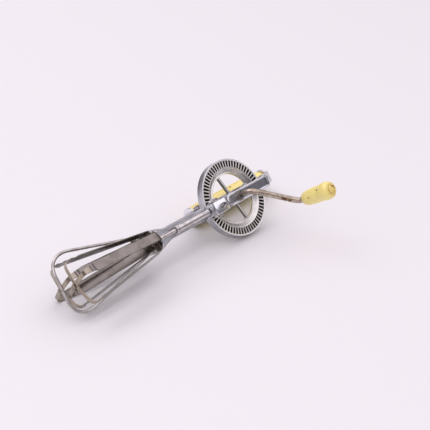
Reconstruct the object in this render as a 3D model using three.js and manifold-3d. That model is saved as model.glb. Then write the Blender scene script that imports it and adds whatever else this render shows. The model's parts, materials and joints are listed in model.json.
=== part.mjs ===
// Hand-cranked rotary egg beater, lying on its grip, its wheel and its beaters. Millimetres, +Z up.
// Every piece is drawn in the tool's own axes: x runs from the beaters to the handle,
// y along the crank's axle towards the knob, z across the straps. The tool group lays it down.
import * as THREE from "three";
import { mergeVertices } from "three/addons/utils/BufferGeometryUtils.js";
import Module from "manifold-3d";

const wasm = await Module();
wasm.setup();

// ---- sizes that can be set one by one ----
const gap = 0.3; // air between pieces that touch
const wheelRadius = 41;
const wheelHalf = 4.5; // half the width of the wheel's rim
const rimLip = 1.4;
const toothCount = 64;
const pinionTeeth = 16;
const slotDepth = 1.5;
const strapWidth = 12.6;
const strapThick = 1.3;
const frontLevel = 17; // outer face of the front strap beside the wheel
const rearLevel = 10.2; // outer face of the rear strap beside the wheel
const shaftRadius = 2;
const sleeveLength = 42;
const sleeveRadius = 3.6;
const flareLength = 21; // straps from the sleeves' collars down to the yoke
const bladeLength = 97.2;
const bladeThick = 0.9;
const bowWire = 1.5; // radius of the bow's wire
const bowLean = 1; // degrees the bow stands off to one side
const rodRadius = 3; // crank rod
const crankThrow = 51.6;
const crankAngle = 38.8; // degrees from the handle end round to the arm
const crankReach = 46; // wheel's middle to the arm's outer bend
const crankRise = 31; // wheel's middle to the arm's inner bend
const crankBend = 9; // radius of both bends
const knobLength = 38;
const knobRadius = 9.2;
const gripLength = 113;
const gripRadius = 11;
const gripReach = 40.5; // wheel's middle plane back to the grip's axis
const gripCentre = 30; // wheel's centre up to the middle of the grip
const eyeRadius = 10.4;
const eyeThick = 1.8;
const restRoll = 143.49; // degrees about x that lay the tool on its side
const restPitch = -1.83; // degrees about the level cross axis

// ---- sizes that follow from them ----
const rad = Math.PI / 180;
const toothOuter = wheelRadius - rimLip;
const toothInner = wheelRadius * 0.772;
const toothFace = wheelHalf - 0.2;
const windowRadius = wheelRadius * 0.63;
const meshRadius = (toothOuter + toothInner) / 2 + 0.3; // where the pinion rides the teeth
const pinionPitch = (meshRadius * pinionTeeth) / toothCount;
const pinionReach = pinionPitch + 0.85; // tip of a pinion tooth
const pinionWidth = (toothOuter - toothInner) * 0.72;
const shaftOffset = toothFace + pinionPitch; // wheel's middle plane out to a shaft
const humpLevel = shaftOffset + pinionReach + 1 + strapThick; // outer face of a strap over its pinion
const humpLow = -(meshRadius + pinionWidth / 2 + 7.5); // x where the strap steps out
const humpHigh = -(meshRadius - pinionWidth / 2 - 6); // x where it steps back in
const collarRadius = sleeveRadius + 0.8;
const strapBack = shaftOffset - collarRadius - gap; // outer face of a strap behind its sleeve
const sleeveTop = humpLow - strapThick - gap;
const sleeveBottom = sleeveTop - sleeveLength;
const collarLength = 3.4;
const flareStart = sleeveBottom - collarLength - 3;
const flareWidth = strapWidth + 9.5;
const yokeTop = flareStart - flareLength;
const yokeThick = 1.4;
const yokeWidth = flareWidth + 1;
const yokeHalf = shaftOffset + 6.5;
const bladeTop = yokeTop - yokeThick - 2.2;
const bladeRadius = shaftOffset * 1.76; // widest reach of a beater, inside its neighbour's shaft
const bladeNeck = shaftOffset * 0.84; // reach of the blades just under the yoke
const bladeWide = shaftOffset * 0.66;
const bladeNarrow = shaftOffset * 0.33; // width of a blade where it crosses the shaft's axis
const bladeStep = bladeThick + gap * 1.5; // the inner blade lies this far inside the outer one
const bladeBottom = bladeTop - bladeLength;
const hubRadius = shaftRadius + gap + 1.7;
const topClear = wheelRadius + 2.8; // inside of the strap's turn over the wheel
const gripLow = gripCentre - gripLength / 2;
const gripHigh = gripCentre + gripLength / 2;
const gripRodRadius = 2.2;
const axleBore = rodRadius + gap;
const knobBore = rodRadius + gap;
const knobStart = crankReach + crankBend;
const bowCorner = bladeRadius + 9.6; // half the spread of the bow's legs, carried on to the level of its foot
const bowFoot = bladeBottom - 5; // x of the bow's lowest point
const rivetRadius = 1.3;

// ---- finishes ----
const paint = (colour, roughness, metalness) =>
  new THREE.MeshStandardMaterial({ color: colour, roughness, metalness });
const frameSteel = paint(0xb4b8c0, 0.32, 1);
const wheelSteel = paint(0xa9acb0, 0.3, 1);
const bladeSteel = paint(0x9c948a, 0.36, 1);
const rodSteel = paint(0x8a7a66, 0.4, 1);
const brightSteel = paint(0xc6c8ca, 0.25, 1);
const yellowPaint = paint(0xe8d36a, 0.45, 0);

// ---- solids ----
function solid(geometry) {
  const bare = geometry.clone();
  bare.deleteAttribute("normal");
  bare.deleteAttribute("uv");
  const welded = mergeVertices(bare, 1e-4);
  const vertProperties = new Float32Array(welded.attributes.position.array);
  const triVerts = new Uint32Array(welded.index.array);
  const mesh = new wasm.Mesh({ numProp: 3, vertProperties, triVerts });
  return new wasm.Manifold(mesh);
}

function shape(manifold) {
  const mesh = manifold.getMesh();
  const geometry = new THREE.BufferGeometry();
  geometry.setAttribute("position", new THREE.BufferAttribute(mesh.vertProperties, 3));
  geometry.setIndex(new THREE.BufferAttribute(mesh.triVerts, 1));
  geometry.computeVertexNormals();
  return geometry;
}

const cut = (body, ...tools) => shape(tools.reduce((b, t) => b.subtract(solid(t)), solid(body)));
const join = (body, ...others) => shape(others.reduce((b, t) => b.add(solid(t)), solid(body)));
const keep = (body, other) => shape(solid(body).intersect(solid(other)));

// A turned piece on the x axis, or on y when along is "y"; profile is a list of [distance along, radius].
function turned(profile, sides = 32, along = "x") {
  const points = profile.map(([t, r]) => new THREE.Vector2(r, t));
  if (THREE.ShapeUtils.area(points) < 0) points.reverse();
  const geometry = new THREE.LatheGeometry(points, sides);
  if (along === "x") geometry.rotateZ(-Math.PI / 2);
  return geometry;
}

function rod(from, to, radius, sides = 24, along = "x") {
  return turned([[from, 0], [from, radius], [to, radius], [to, 0]], sides, along);
}

function tube(from, to, inner, outer, sides = 28, along = "x") {
  return turned([[from, inner], [from, outer], [to, outer], [to, inner], [from, inner]], sides, along);
}

function block(x0, x1, y0, y1, z0, z1) {
  const geometry = new THREE.BoxGeometry(x1 - x0, y1 - y0, z1 - z0);
  return geometry.translate((x0 + x1) / 2, (y0 + y1) / 2, (z0 + z1) / 2);
}

// A flat shape drawn in x and y, given the same depth on both sides of z = 0.
function slab(outline, depth, curveSegments = 8) {
  const settings = { depth, bevelEnabled: false, curveSegments };
  return new THREE.ExtrudeGeometry(outline, settings).translate(0, 0, -depth / 2);
}

// A flat shape drawn in x and z, given a thickness from y = 0 upwards.
function sheet(outline, thick, curveSegments = 8) {
  const settings = { depth: thick, bevelEnabled: false, curveSegments };
  return new THREE.ExtrudeGeometry(outline, settings).rotateX(Math.PI / 2).translate(0, thick, 0);
}

// The centre line [x, y] of a bent strip, rounded at each corner, as a closed outline of one thickness.
function stripOutline(corners, bend, thick) {
  const line = roundedLine(corners, bend);
  const left = [];
  const right = [];
  line.forEach((p, i) => {
    const before = line[Math.max(i - 1, 0)];
    const after = line[Math.min(i + 1, line.length - 1)];
    const dir = after.clone().sub(before).normalize();
    const side = new THREE.Vector2(-dir.y, dir.x).multiplyScalar(thick / 2);
    left.push(p.clone().add(side));
    right.push(p.clone().sub(side));
  });
  return new THREE.Shape([...left, ...right.reverse()]);
}

function roundedLine(corners, bend, steps = 4) {
  const line = [new THREE.Vector2(...corners[0])];
  for (let i = 1; i < corners.length - 1; i++) {
    const at = new THREE.Vector2(...corners[i]);
    const back = new THREE.Vector2(...corners[i - 1]).sub(at);
    const on = new THREE.Vector2(...corners[i + 1]).sub(at);
    const radius = corners[i][2] ?? bend;
    const turn = Math.PI - back.angleTo(on);
    const trim = Math.min(radius * Math.tan(turn / 2), back.length() * 0.48, on.length() * 0.48);
    const start = at.clone().add(back.setLength(trim));
    const end = at.clone().add(on.setLength(trim));
    const curve = new THREE.QuadraticBezierCurve(start, at, end);
    line.push(...curve.getPoints(steps));
  }
  line.push(new THREE.Vector2(...corners.at(-1)));
  return line;
}

// ---- drive wheel ----
function toothSlots() {
  const pitch = (2 * Math.PI) / toothCount;
  const length = toothOuter - toothInner - 0.8;
  const middle = (toothOuter + toothInner) / 2;
  const width = 0.6 * meshRadius * pitch;
  const cutters = [];
  for (let i = 0; i < toothCount; i++) {
    for (const side of [-1, 1]) {
      const cutter = new THREE.BoxGeometry(length, slotDepth * 2, width);
      cutter.translate(middle, side * toothFace, 0);
      cutter.rotateY(i * pitch);
      cutters.push(cutter);
    }
  }
  return cutters;
}

function wheelProfile() {
  const dishInner = windowRadius;
  const webHalf = 0.8;
  const side = [
    [webHalf, dishInner],
    [webHalf + 0.9, dishInner],
    [webHalf + 0.5, dishInner + 1.4],
    [toothFace, toothInner - 0.6],
    [toothFace, toothOuter],
    [wheelHalf, toothOuter + 0.2],
    [wheelHalf, wheelRadius - 0.4],
    [wheelHalf - 0.4, wheelRadius],
  ];
  const mirrored = side.slice(1).map(([t, r]) => [-t, r]).reverse();
  return [...side.slice(1), ...mirrored, side[1]];
}

const wheelHub = rodRadius + gap + 3.2;

function spoke(angle) {
  const bar = block(wheelHub - 1, windowRadius + 1, -1, 1, -2, 2);
  const ridge = block(wheelHub - 1, windowRadius + 1, -1.7, 1.7, -1, 1);
  return [bar, ridge].map((g) => g.rotateY(angle));
}

function driveWheel() {
  const ring = turned(wheelProfile(), 96, "y");
  const toothed = cut(ring, ...toothSlots());
  const hub = tube(-2.4, 2.4, axleBore, wheelHub, 32, "y");
  const spokes = [-76, 14, 104, 194].flatMap((deg) => spoke(deg * rad));
  return join(toothed, hub, ...spokes);
}

// ---- crank ----
const armX = crankThrow * Math.cos(crankAngle * rad);
const armZ = crankThrow * Math.sin(crankAngle * rad);
const axleBack = rearLevel + 1.2; // the axle's end behind the rear strap

function crankPath() {
  const start = new THREE.Vector3(0, -axleBack, 0);
  const inner = new THREE.Vector3(0, crankRise, 0);
  const outer = new THREE.Vector3(armX, crankReach, armZ);
  const end = new THREE.Vector3(armX, knobStart + knobLength + 1.2, armZ);
  const path = new THREE.CurvePath();
  const arm = outer.clone().sub(inner);
  const trim = crankBend;
  const beforeInner = inner.clone().setY(crankRise - trim);
  const afterInner = inner.clone().add(arm.clone().setLength(trim));
  const beforeOuter = outer.clone().sub(arm.clone().setLength(trim));
  const afterOuter = outer.clone().setY(crankReach + trim * 0.55);
  path.add(new THREE.LineCurve3(start, beforeInner));
  path.add(new THREE.QuadraticBezierCurve3(beforeInner, inner, afterInner));
  path.add(new THREE.LineCurve3(afterInner, beforeOuter));
  path.add(new THREE.QuadraticBezierCurve3(beforeOuter, outer, afterOuter));
  path.add(new THREE.LineCurve3(afterOuter, end));
  return path;
}

function wire(path, radius, steps, sides = 12) {
  const section = new THREE.Shape();
  section.absarc(0, 0, radius, 0, 2 * Math.PI);
  const settings = { steps, curveSegments: sides, bevelEnabled: false, extrudePath: path };
  return new THREE.ExtrudeGeometry(section, settings);
}

function crankRod() {
  return wire(crankPath(), rodRadius, 52, 8);
}

function knob() {
  const l = knobLength;
  const r = knobRadius;
  const profile = [
    [0, knobBore],
    [0, r * 0.62],
    [l * 0.04, r * 0.76],
    [l * 0.15, r * 0.86],
    [l * 0.42, r * 0.93],
    [l * 0.55, r * 0.92],
    [l * 0.6, r * 0.89],
    [l * 0.65, r * 0.94],
    [l * 0.78, r],
    [l * 0.9, r * 0.97],
    [l * 0.97, r * 0.84],
    [l, r * 0.6],
    [l, knobBore],
    [0, knobBore],
  ];
  return turned(profile, 36, "y").translate(armX, knobStart, armZ);
}

function knobWasher() {
  const from = knobStart - gap - 0.9;
  return tube(from, from + 0.9, knobBore, rodRadius + 2.2, 24, "y").translate(armX, 0, armZ);
}

// ---- frame straps ----
// The strap's centre line in x and y, from the yoke to beside the wheel; side +1 front, -1 rear.
function strapLower(side, level) {
  const t = strapThick / 2;
  return [
    [yokeTop + gap, side * (strapBack - t), 2],
    [humpLow, side * (strapBack - t), 1.5],
    [humpLow, side * (humpLevel - t), 2.5],
    [humpHigh - 2, side * (humpLevel - t), 4],
    [humpHigh + 4, side * (level - t), 5],
  ];
}

// Straps are narrow along the wheel and flare to the yoke.
function strapPlan(end) {
  const half = strapWidth / 2;
  const plan = new THREE.Shape();
  plan.moveTo(end, -half);
  plan.lineTo(flareStart, -half);
  plan.bezierCurveTo(flareStart - 7, -half, yokeTop + 8, -flareWidth / 2, yokeTop - 1, -flareWidth / 2);
  plan.lineTo(yokeTop - 1, flareWidth / 2);
  plan.bezierCurveTo(yokeTop + 8, flareWidth / 2, flareStart - 7, half, flareStart, half);
  plan.lineTo(end, half);
  plan.closePath();
  return plan;
}

// Rolled edges of a strap: two thin ridges along its outer face beside the wheel.
function strapRidges(level, from, to) {
  const half = strapWidth / 2;
  return [-1, 1].map((s) => {
    const z = s * (half - 0.9);
    return block(from, to, level - 0.6, level + 1, z - 0.9, z + 0.9);
  });
}

function frontStrap() {
  const t = strapThick / 2;
  const top = topClear + strapThick / 2;
  const eyeX = gripHigh + gap + eyeThick / 2;
  const corners = [
    ...strapLower(1, frontLevel),
    [top - 3, frontLevel - t, 9],
    [top + 3, 4, 12],
    [eyeX, -gripReach + eyeRadius + 3, 5],
    [eyeX, -gripReach],
  ];
  const bent = slab(stripOutline(corners, 3, strapThick), flareWidth + 4, 8);
  const plan = sheet(strapPlan(gripHigh + 10), 100).translate(0, -60, 0);
  const strip = keep(bent, plan);
  const eye = rod(gripHigh + gap, gripHigh + gap + eyeThick, eyeRadius, 40).translate(0, -gripReach, 0);
  const ridges = strapRidges(frontLevel, humpHigh + 7, top - 9);
  const whole = join(strip, eye, ...ridges);
  return cut(
    whole,
    rod(-1, frontLevel + 5, axleBore, 28, "y"),
    shaftHole(1),
    humpSlot(1),
    rod(gripHigh - 2, gripHigh + 6, gripRodRadius + gap, 24).translate(0, -gripReach, 0),
    ...topRivets().map((at) => rivetHole(at)),
  );
}

function rearStrap() {
  const t = strapThick / 2;
  const top = topClear + strapThick / 2;
  const end = topRivets()[1];
  const tail = end.clone().add(upDirection().multiplyScalar(5));
  const down = upNormal().multiplyScalar(-(strapThick + gap));
  const corners = [
    ...strapLower(-1, rearLevel),
    [top - 14, -(rearLevel - t), 8],
    [upStart().x + down.x + 1.5, upStart().y + down.y - 1.4, 6],
    [tail.x + down.x, tail.y + down.y],
  ];
  const bent = slab(stripOutline(corners, 3, strapThick), flareWidth + 4, 8);
  const plan = sheet(strapPlan(gripHigh + 10), 100).translate(0, -60, 0);
  return cut(
    keep(bent, plan),
    rod(-rearLevel - 5, 1, axleBore, 28, "y"),
    shaftHole(-1),
    ...topRivets().map((at) => rivetHole(at)),
    ...armRivetSpots().map((x) => rod(-humpLevel - 3, -humpLevel + 4, rivetRadius + gap, 16, "y").translate(x, 0, 0)),
  );
}

// The leg of the front strap that climbs from the turn over the wheel back to the upper eye.
const legFrom = new THREE.Vector2(topClear + strapThick / 2 + 3, 4);
const legTo = new THREE.Vector2(gripHigh + gap + eyeThick / 2, -gripReach + eyeRadius + 3);

function upDirection() {
  return legTo.clone().sub(legFrom).normalize();
}

function upNormal() {
  const d = upDirection();
  return new THREE.Vector2(-d.y, d.x);
}

function upStart() {
  return legFrom.clone().add(upDirection().multiplyScalar(12));
}

function topRivets() {
  return [17, 24].map((t) => legFrom.clone().add(upDirection().multiplyScalar(t)));
}

// A pin square to the climbing leg, from depth lo to hi along its outward normal.
function legPin(at, lo, hi, radius, sides = 16) {
  const n = upNormal();
  const pin = rod(lo, hi, radius, sides);
  return pin.rotateZ(Math.atan2(n.y, n.x)).translate(at.x, at.y, 0);
}

const rivetHole = (at) => legPin(at, -5, 4, rivetRadius + gap);

function rivet(at) {
  const deep = strapThick * 1.5 + gap * 3;
  const out = strapThick / 2 + gap;
  const profile = [
    [-deep - 1, 0],
    [-deep - 1, 1.5],
    [-deep - 0.4, 2.2],
    [-deep, 2.2],
    [-deep, rivetRadius],
    [out, rivetRadius],
    [out, 2.4],
    [out + 0.5, 2.2],
    [out + 1.1, 1.2],
    [out + 1.2, 0],
  ];
  const n = upNormal();
  return turned(profile, 16).rotateZ(Math.atan2(n.y, n.x)).translate(at.x, at.y, 0);
}

function shaftHole(side) {
  return rod(humpLow - 3, humpLow + 3, shaftRadius + gap, 24).translate(0, side * shaftOffset, 0);
}

// A slot in the hump that shows the pinion's teeth.
function humpSlot(side) {
  const half = 2.4;
  const outline = new THREE.Shape();
  const from = -meshRadius - pinionWidth / 2 + 0.5;
  const to = -meshRadius + pinionWidth / 2 - 0.5;
  outline.moveTo(from, -half);
  outline.lineTo(to, -half);
  outline.absarc(to, 0, half, -Math.PI / 2, Math.PI / 2);
  outline.lineTo(from, half);
  outline.absarc(from, 0, half, Math.PI / 2, 1.5 * Math.PI);
  return sheet(outline, 6).translate(0, side * humpLevel - 3, 0);
}

// ---- yoke and bow ----
function yokePlan() {
  const r = yokeWidth / 2;
  const run = yokeHalf - r * 0.55;
  const plan = new THREE.Shape();
  plan.moveTo(-r * 0.55, -yokeHalf);
  plan.lineTo(r * 0.55, -yokeHalf);
  plan.quadraticCurveTo(r, -yokeHalf, r, -run);
  plan.lineTo(r, run);
  plan.quadraticCurveTo(r, yokeHalf, r * 0.55, yokeHalf);
  plan.lineTo(-r * 0.55, yokeHalf);
  plan.quadraticCurveTo(-r, yokeHalf, -r, run);
  plan.lineTo(-r, -run);
  plan.quadraticCurveTo(-r, -yokeHalf, -r * 0.55, -yokeHalf);
  return plan;
}

const bowTop = yokeWidth / 2 - 3; // half the spread of the bow's ends in the yoke

function yokePlate() {
  const settings = { depth: yokeThick, bevelEnabled: false, curveSegments: 8 };
  const flat = new THREE.ExtrudeGeometry(yokePlan(), settings);
  flat.rotateY(-Math.PI / 2).translate(yokeTop, 0, 0);
  const holes = [-1, 1].map((s) =>
    rod(yokeTop - 4, yokeTop + 4, shaftRadius + gap, 24).translate(0, s * shaftOffset, 0));
  const sockets = [-1, 1].map((s) =>
    rod(yokeTop - 4, yokeTop + 4, bowWire + gap, 20).translate(0, 0, s * bowTop));
  return cut(flat, ...holes, ...sockets);
}

function bowPath() {
  const lean = Math.tan(bowLean * rad);
  const at = (x, z) => new THREE.Vector3(x, 0, z + (x - yokeTop) * lean);
  const path = new THREE.CurvePath();
  const top = yokeTop - 4;
  const end = new THREE.Vector3(yokeTop + 2.2, 0, bowTop);
  const spots = [end, at(top, bowTop)];
  for (const s of [1, -1]) {
    const foot = at(bowFoot, s * bowCorner);
    const above = foot.clone().lerp(at(top, s * bowTop), 0.23);
    const beside = at(bowFoot, s * bowCorner * 0.36);
    spots.push(...(s > 0 ? [above, foot, beside] : [beside, foot, above]));
  }
  spots.push(at(top, -bowTop), new THREE.Vector3(yokeTop + 2.2, 0, -bowTop));
  const [a, b, c, d, e, f, g, h, i, j] = spots;
  path.add(new THREE.LineCurve3(a, b));
  path.add(new THREE.LineCurve3(b, c));
  path.add(new THREE.CubicBezierCurve3(c, c.clone().lerp(d, 0.6), e.clone().lerp(d, 0.6), e));
  path.add(new THREE.LineCurve3(e, f));
  path.add(new THREE.CubicBezierCurve3(f, f.clone().lerp(g, 0.6), h.clone().lerp(g, 0.6), h));
  path.add(new THREE.LineCurve3(h, i));
  path.add(new THREE.LineCurve3(i, j));
  return path;
}

// ---- shafts, sleeves and pinions; every piece sits on its shaft's own axis ----
function pinion() {
  const teeth = new THREE.Shape();
  const root = pinionPitch - 1.3;
  for (let i = 0; i < pinionTeeth; i++) {
    const a = (i * 2 * Math.PI) / pinionTeeth;
    const step = (2 * Math.PI) / pinionTeeth;
    const point = (r, half) => [r * Math.cos(a + half), r * Math.sin(a + half)];
    if (i === 0) teeth.moveTo(...point(root, -step * 0.24));
    else teeth.lineTo(...point(root, -step * 0.24));
    teeth.lineTo(...point(pinionReach, -0.4 / pinionReach));
    teeth.lineTo(...point(pinionReach, 0.4 / pinionReach));
    teeth.lineTo(...point(root, step * 0.24));
  }
  teeth.closePath();
  const settings = { depth: pinionWidth, bevelEnabled: false };
  const gear = new THREE.ExtrudeGeometry(teeth, settings);
  gear.rotateY(Math.PI / 2).translate(-meshRadius - pinionWidth / 2, 0, 0);
  const hub = rod(humpLow + strapThick / 2 + 0.6, -meshRadius, shaftRadius + 2.6, 28);
  return cut(join(gear, hub), rod(humpLow - 5, 0, shaftRadius + gap, 24));
}

const shaftTop = -meshRadius + pinionWidth / 2 + 1.4;

function beaterShaft() {
  return rod(bladeTop - 4.6, shaftTop, shaftRadius, 24);
}

function shaftCap() {
  const from = -meshRadius + pinionWidth / 2 + gap;
  return cut(
    turned([[from, 0], [from, 3.4], [from + 1.4, 3.4], [from + 2.4, 2], [from + 2.4, 0]], 24),
    rod(from - 1, shaftTop + gap, shaftRadius + gap, 24),
  );
}

function sleeve() {
  return tube(sleeveBottom, sleeveTop, shaftRadius + gap, sleeveRadius, 28);
}

function collar() {
  const from = sleeveBottom - gap - collarLength;
  const r = collarRadius;
  const profile = [
    [from, shaftRadius + gap],
    [from, r - 0.5],
    [from + 0.5, r],
    [from + 1.3, r],
    [from + 1.6, r - 0.6],
    [from + 1.9, r],
    [from + collarLength - 0.4, r],
    [from + collarLength, r - 0.4],
    [from + collarLength, shaftRadius + gap],
    [from, shaftRadius + gap],
  ];
  return turned(profile, 28);
}

// ---- beater blades ----
function bladePath(inset) {
  const r = bladeRadius;
  const top = bladeTop - inset;
  const bottom = bladeBottom + inset;
  const half = [
    [top, bladeNeck, 1.6],
    [bottom + 2.8, r + 0.1, 8],
  ];
  const mirrored = half.map(([x, y, b]) => [x, -y, b]).reverse();
  const inner = hubRadius + gap;
  return [[top, inner], ...half, [bottom, 0, 6], ...mirrored, [top, -inner]];
}

function bladePlan(top) {
  const wide = bladeWide / 2;
  const narrow = bladeNarrow / 2;
  const plan = new THREE.Shape();
  plan.moveTo(top + 4, -wide);
  plan.lineTo(bladeBottom + 19, -wide);
  plan.lineTo(bladeBottom + 3.4, -narrow);
  plan.lineTo(bladeBottom - 4, -narrow);
  plan.lineTo(bladeBottom - 4, narrow);
  plan.lineTo(bladeBottom + 3.4, narrow);
  plan.lineTo(bladeBottom + 19, wide);
  plan.lineTo(top + 4, wide);
  plan.closePath();
  return plan;
}

function blade(inset) {
  const strip = slab(stripOutline(bladePath(inset), 2, bladeThick), bladeWide + 6, 8);
  const reach = bladeRadius + 6;
  const plan = sheet(bladePlan(bladeTop), reach * 2).translate(0, -reach, 0);
  const hole = rod(bladeBottom - 4, bladeBottom + 6, rivetRadius + gap, 16);
  return cut(keep(strip, plan), hole);
}

function beaterCollar() {
  const from = bladeTop - 4.2;
  return tube(from, bladeTop + 1.4, shaftRadius + gap, hubRadius, 28);
}

function bladeRivet() {
  const low = bladeBottom - bladeThick / 2 - gap;
  const high = bladeBottom + bladeStep + bladeThick / 2 + gap + 0.2;
  const profile = [
    [low - 1.1, 0],
    [low - 1, 1.3],
    [low - 0.4, 2],
    [low, 2.1],
    [low, rivetRadius],
    [high, rivetRadius],
    [high, 2.1],
    [high + 0.9, 1.4],
    [high + 1, 0],
  ];
  return turned(profile, 16);
}

// ---- handle ----
function grip() {
  const l = gripLength;
  const r = gripRadius;
  const profile = [
    [0, gripRodRadius + gap],
    [0, r * 0.66],
    [l * 0.02, r * 0.84],
    [l * 0.08, r * 0.93],
    [l * 0.25, r * 0.985],
    [l * 0.5, r],
    [l * 0.75, r * 0.985],
    [l * 0.92, r * 0.93],
    [l * 0.98, r * 0.84],
    [l, r * 0.66],
    [l, gripRodRadius + gap],
    [0, gripRodRadius + gap],
  ];
  return turned(profile, 40).translate(gripLow, -gripReach, 0);
}

const armInner = humpLevel + gap; // face of the lower arm that lies on the rear strap's hump
const eyeLow = gripLow - gap - eyeThick;

function armRivetSpots() {
  return [humpLow + 4.2, humpLow + 10.2];
}

function lowerArm() {
  const t = strapThick / 2;
  const corners = [
    [humpLow + 1.2, -(armInner + t)],
    [eyeLow + eyeThick / 2, -(armInner + t), 3],
    [eyeLow + eyeThick / 2, -gripReach],
  ];
  const strip = slab(stripOutline(corners, 3, strapThick), strapWidth);
  const eye = rod(eyeLow, eyeLow + eyeThick, eyeRadius, 40).translate(0, -gripReach, 0);
  return cut(
    join(strip, eye),
    rod(eyeLow - 3, eyeLow + 5, gripRodRadius + gap, 24).translate(0, -gripReach, 0),
    ...armRivetSpots().map((x) =>
      rod(-armInner - 4, -armInner + 2, rivetRadius + gap, 16, "y").translate(x, 0, 0)),
  );
}

function armRivet(x) {
  const outer = -(armInner + strapThick + gap);
  const inner = -(humpLevel - strapThick - gap);
  const profile = [
    [outer - 1.2, 0],
    [outer - 1.1, 1.2],
    [outer - 0.5, 2.2],
    [outer, 2.4],
    [outer, rivetRadius],
    [inner, rivetRadius],
    [inner, 2],
    [inner + 0.5, 2],
    [inner + 0.5, 0],
  ];
  return turned(profile, 16, "y").translate(x, 0, 0);
}

function gripRod() {
  const from = eyeLow - gap - 0.1;
  const to = gripHigh + gap + eyeThick + gap + 0.1;
  return rod(from - 0.6, to + 0.6, gripRodRadius, 24).translate(0, -gripReach, 0);
}

function rodHead(side) {
  const face = side > 0 ? gripHigh + gap + eyeThick + gap : eyeLow - gap;
  const bore = gripRodRadius + gap;
  const out = [[0, bore], [0, 5], [0.7, 4.9], [1.7, 3.9], [2.4, 2.4], [2.4, 0], [1.1, 0], [1.1, bore], [0, bore]];
  const profile = out.map(([t, r]) => [face + side * t, r]);
  return turned(profile, 24).translate(0, -gripReach, 0);
}

// ---- axle fittings ----
function axleSpacer(side) {
  const level = side > 0 ? frontLevel : rearLevel;
  const from = 2.4 + gap;
  const to = level - strapThick - gap;
  const ends = side > 0 ? [from, to] : [-to, -from];
  return tube(ends[0], ends[1], axleBore, axleBore + 2, 28, "y");
}

function axleHead() {
  const face = -(rearLevel + gap);
  return tube(face - 1.4, face, axleBore, axleBore + 3, 28, "y");
}

function knobRivet() {
  const from = knobStart + knobLength + gap;
  return tube(from, from + 1.5, knobBore, knobBore + 1.5, 24, "y").translate(armX, 0, armZ);
}

// ---- assembly ----
function piece(parent, name, geometry, finish) {
  const mesh = new THREE.Mesh(geometry, finish);
  mesh.name = name;
  parent.add(mesh);
  return mesh;
}

function branch(parent, name) {
  const group = new THREE.Group();
  group.name = name;
  parent.add(group);
  return group;
}

const group = new THREE.Group();
group.name = "egg_beater";
const laid = branch(group, "laid");
const tool = branch(laid, "tool");

const frame = branch(tool, "frame");
piece(frame, "front_strap", frontStrap(), frameSteel);
piece(frame, "rear_strap", rearStrap(), frameSteel);
piece(frame, "yoke_plate", yokePlate(), frameSteel);
piece(frame, "wire_bow", wire(bowPath(), bowWire, 88, 5), bladeSteel);
topRivets().forEach((at, i) => piece(frame, `top_rivet_${i + 1}`, rivet(at), frameSteel));
piece(frame, "lower_arm", lowerArm(), frameSteel);
armRivetSpots().forEach((x, i) => piece(frame, `arm_rivet_${i + 1}`, armRivet(x), frameSteel));
piece(frame, "grip", grip(), yellowPaint);
piece(frame, "grip_rod", gripRod(), brightSteel);
piece(frame, "grip_head_lower", rodHead(-1), frameSteel);
piece(frame, "grip_head_upper", rodHead(1), frameSteel);

const drive = branch(tool, "drive");
piece(drive, "drive_wheel", driveWheel(), wheelSteel);
piece(drive, "crank_rod", crankRod(), rodSteel);
piece(drive, "axle_spacer_front", axleSpacer(1), brightSteel);
piece(drive, "axle_spacer_rear", axleSpacer(-1), brightSteel);
piece(drive, "axle_head", axleHead(), brightSteel);
piece(drive, "knob_washer", knobWasher(), rodSteel);
piece(drive, "knob", knob(), yellowPaint);
piece(drive, "knob_rivet", knobRivet(), rodSteel);

const beaterTurn = { front: 20, rear: 20 }; // degrees each beater stands turned at rest
for (const [name, side] of [["front", 1], ["rear", -1]]) {
  const guide = branch(frame, `${name}_guide`);
  guide.position.y = side * shaftOffset;
  piece(guide, `${name}_sleeve`, sleeve(), brightSteel);
  piece(guide, `${name}_collar`, collar(), brightSteel);

  const beater = branch(tool, `${name}_beater`);
  beater.position.y = side * shaftOffset;
  // one tooth of each pinion points straight at the wheel
  const gear = piece(beater, `${name}_pinion`, pinion(), brightSteel);
  gear.rotation.x = side > 0 ? -Math.PI / 2 : Math.PI / 2;
  piece(beater, `${name}_shaft`, beaterShaft(), bladeSteel);
  piece(beater, `${name}_shaft_cap`, shaftCap(), brightSteel);
  piece(beater, `${name}_beater_collar`, beaterCollar(), bladeSteel);
  const cage = branch(beater, `${name}_cage`);
  cage.rotation.x = -beaterTurn[name] * rad;
  piece(cage, `${name}_blade_outer`, blade(0), bladeSteel);
  piece(cage, `${name}_blade_inner`, blade(bladeStep), bladeSteel).rotation.x = Math.PI / 2;
  piece(cage, `${name}_blade_rivet`, bladeRivet(), bladeSteel);
}

tool.rotation.x = restRoll * rad;
laid.rotation.y = restPitch * rad;

// the origin is the middle of the footprint, on the surface the tool lies on
const extent = new THREE.Box3().setFromObject(group, true);
const middle = extent.getCenter(new THREE.Vector3());
laid.position.set(-middle.x, -middle.y, -extent.min.z);

export default group;
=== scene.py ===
import json
from math import cos, exp, hypot, pi, radians, tan, tau

import bmesh
import bpy
from mathutils import Matrix, Vector

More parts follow.
